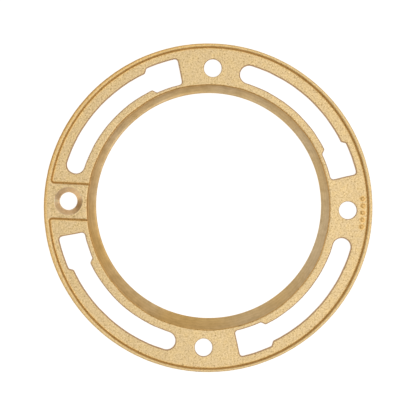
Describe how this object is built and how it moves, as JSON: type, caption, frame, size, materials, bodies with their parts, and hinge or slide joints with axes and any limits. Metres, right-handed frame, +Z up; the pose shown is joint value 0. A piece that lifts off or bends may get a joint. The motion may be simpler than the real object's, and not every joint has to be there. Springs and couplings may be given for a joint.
{
  "type": "toilet flange ring",
  "caption": "Flat cast brass closet flange ring with a raised rim, a bevelled opening for the pipe, screw holes and curved keyhole slots for the bolts that hold a toilet to the floor.",
  "frame": {"origin": "centre of the outside diameter and of the bolt circle, on the underside that lies on the floor", "axes": "+Z up along the axis of the ring, out of the recessed side; the land with the countersunk screw hole is on -X; +Y completes the right-handed frame"},
  "size_m": [0.1778, 0.1778, 0.0063],
  "materials": {
    "cast_brass": "sand-cast, tumbled to a fine satin grain, with the bevel, bore and countersink turned smooth"
  },
  "bodies": {
    "root": {"flange_ring": "cast_brass"}
  },
  "joints": []
}
